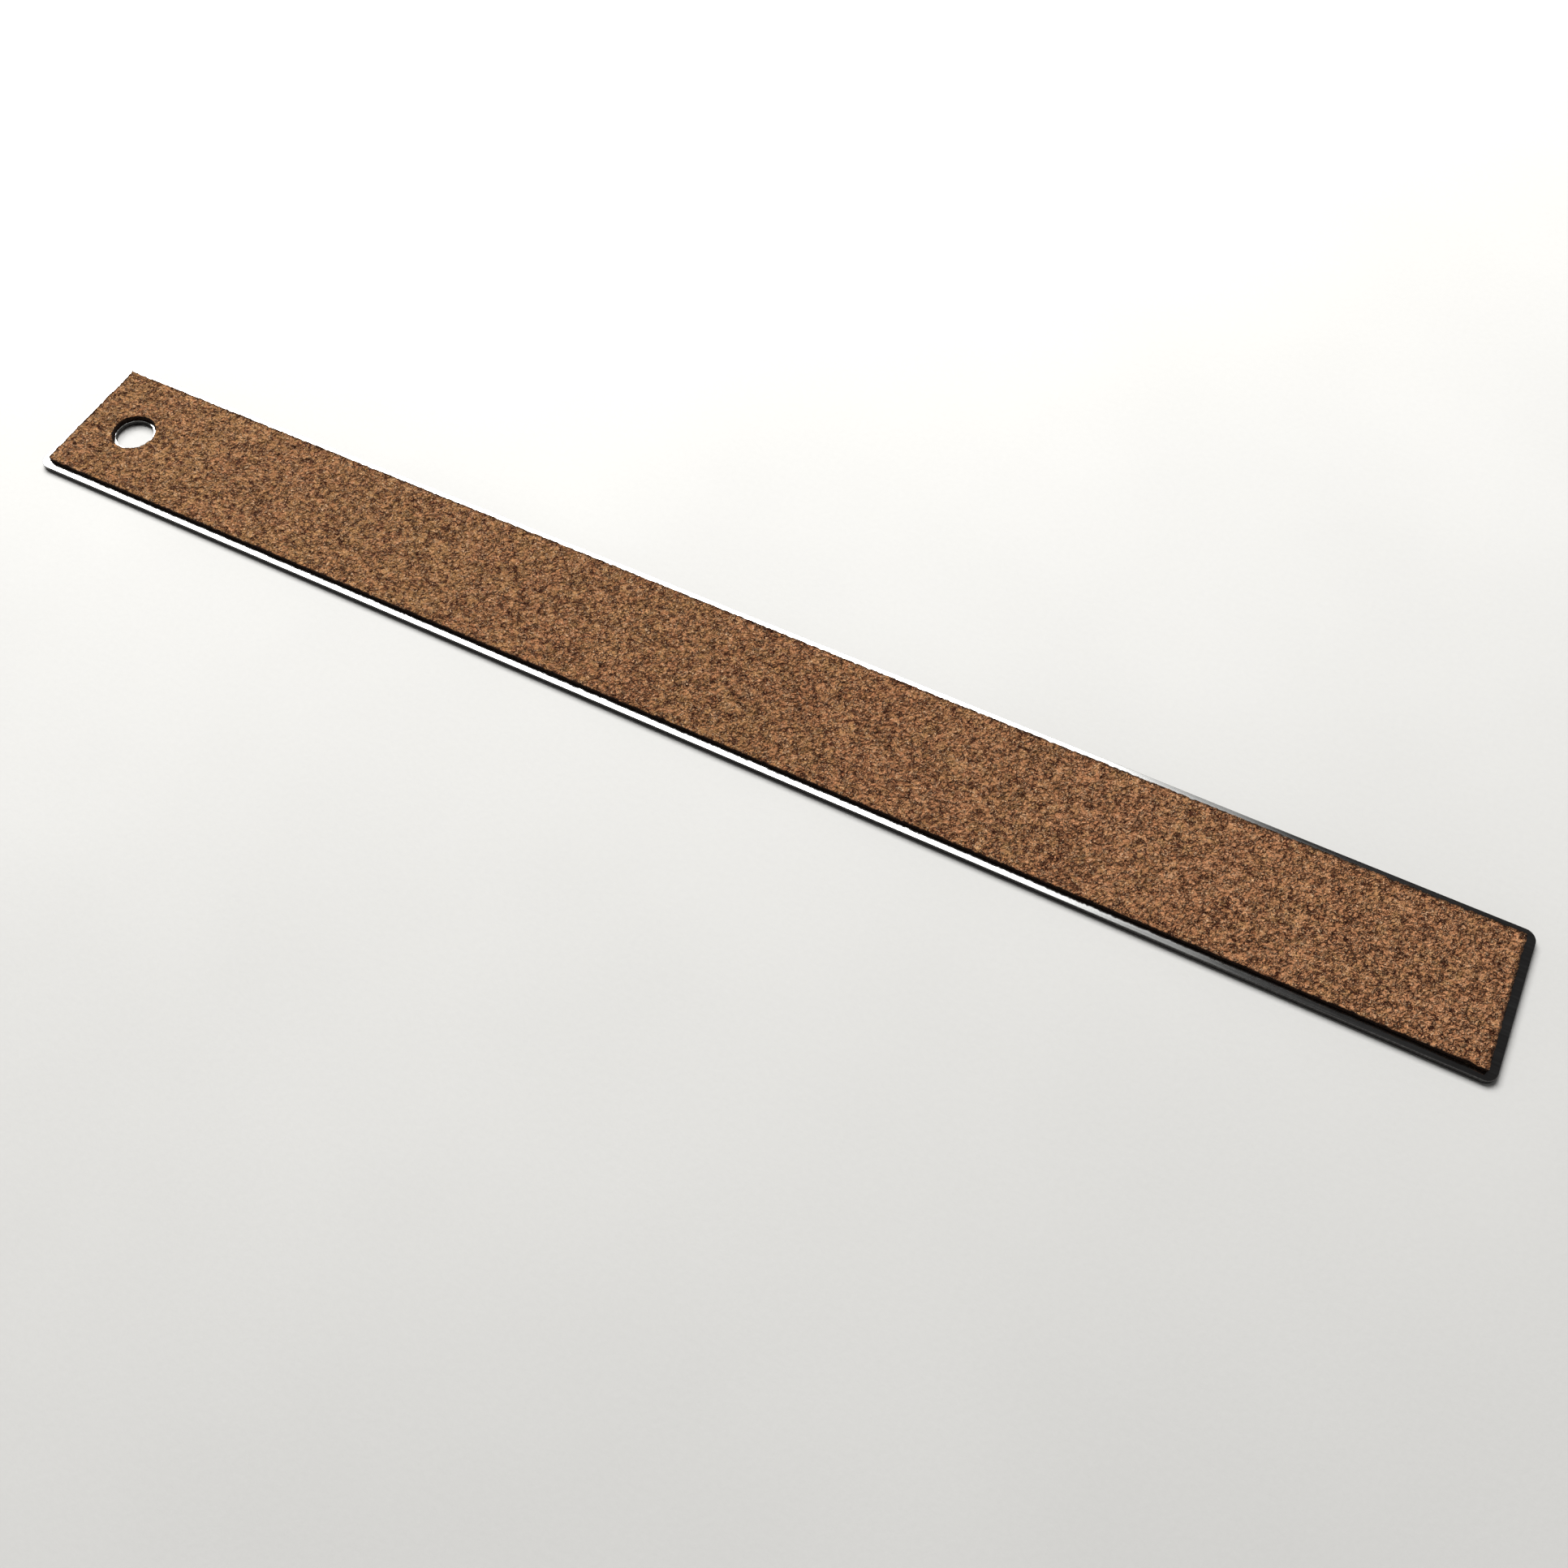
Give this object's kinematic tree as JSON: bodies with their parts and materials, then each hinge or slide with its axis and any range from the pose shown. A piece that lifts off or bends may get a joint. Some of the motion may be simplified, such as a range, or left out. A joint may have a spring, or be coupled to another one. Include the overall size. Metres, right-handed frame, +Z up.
{
  "type": "cork-backed steel ruler",
  "caption": "Flat steel ruler with rounded corners and a hanging hole near its end, with etched inch and metric scales on its face and a glued cork backing behind.",
  "frame": {"origin": "middle of the graduated face, which the ruler rests on", "axes": "+X along the length away from the hanging hole, +Y across the blade towards the inch edge, +Z up through the steel to the cork"},
  "size_m": [0.3112, 0.0318, 0.0024],
  "materials": {
    "steel": "satin, brushed along the length, edges lightly broken",
    "adhesive": "thin clear-amber film",
    "cork": "matte fine-grained composition cork with a knife-cut edge",
    "scale_paint": "matte black paint in etched lines"
  },
  "bodies": {
    "root": {"steel_blade": "steel", "adhesive_film": "adhesive", "cork_backing": "cork", "inch_graduations": "scale_paint", "inch_numerals": "scale_paint", "metric_graduations": "scale_paint", "metric_numerals": "scale_paint"}
  },
  "joints": []
}
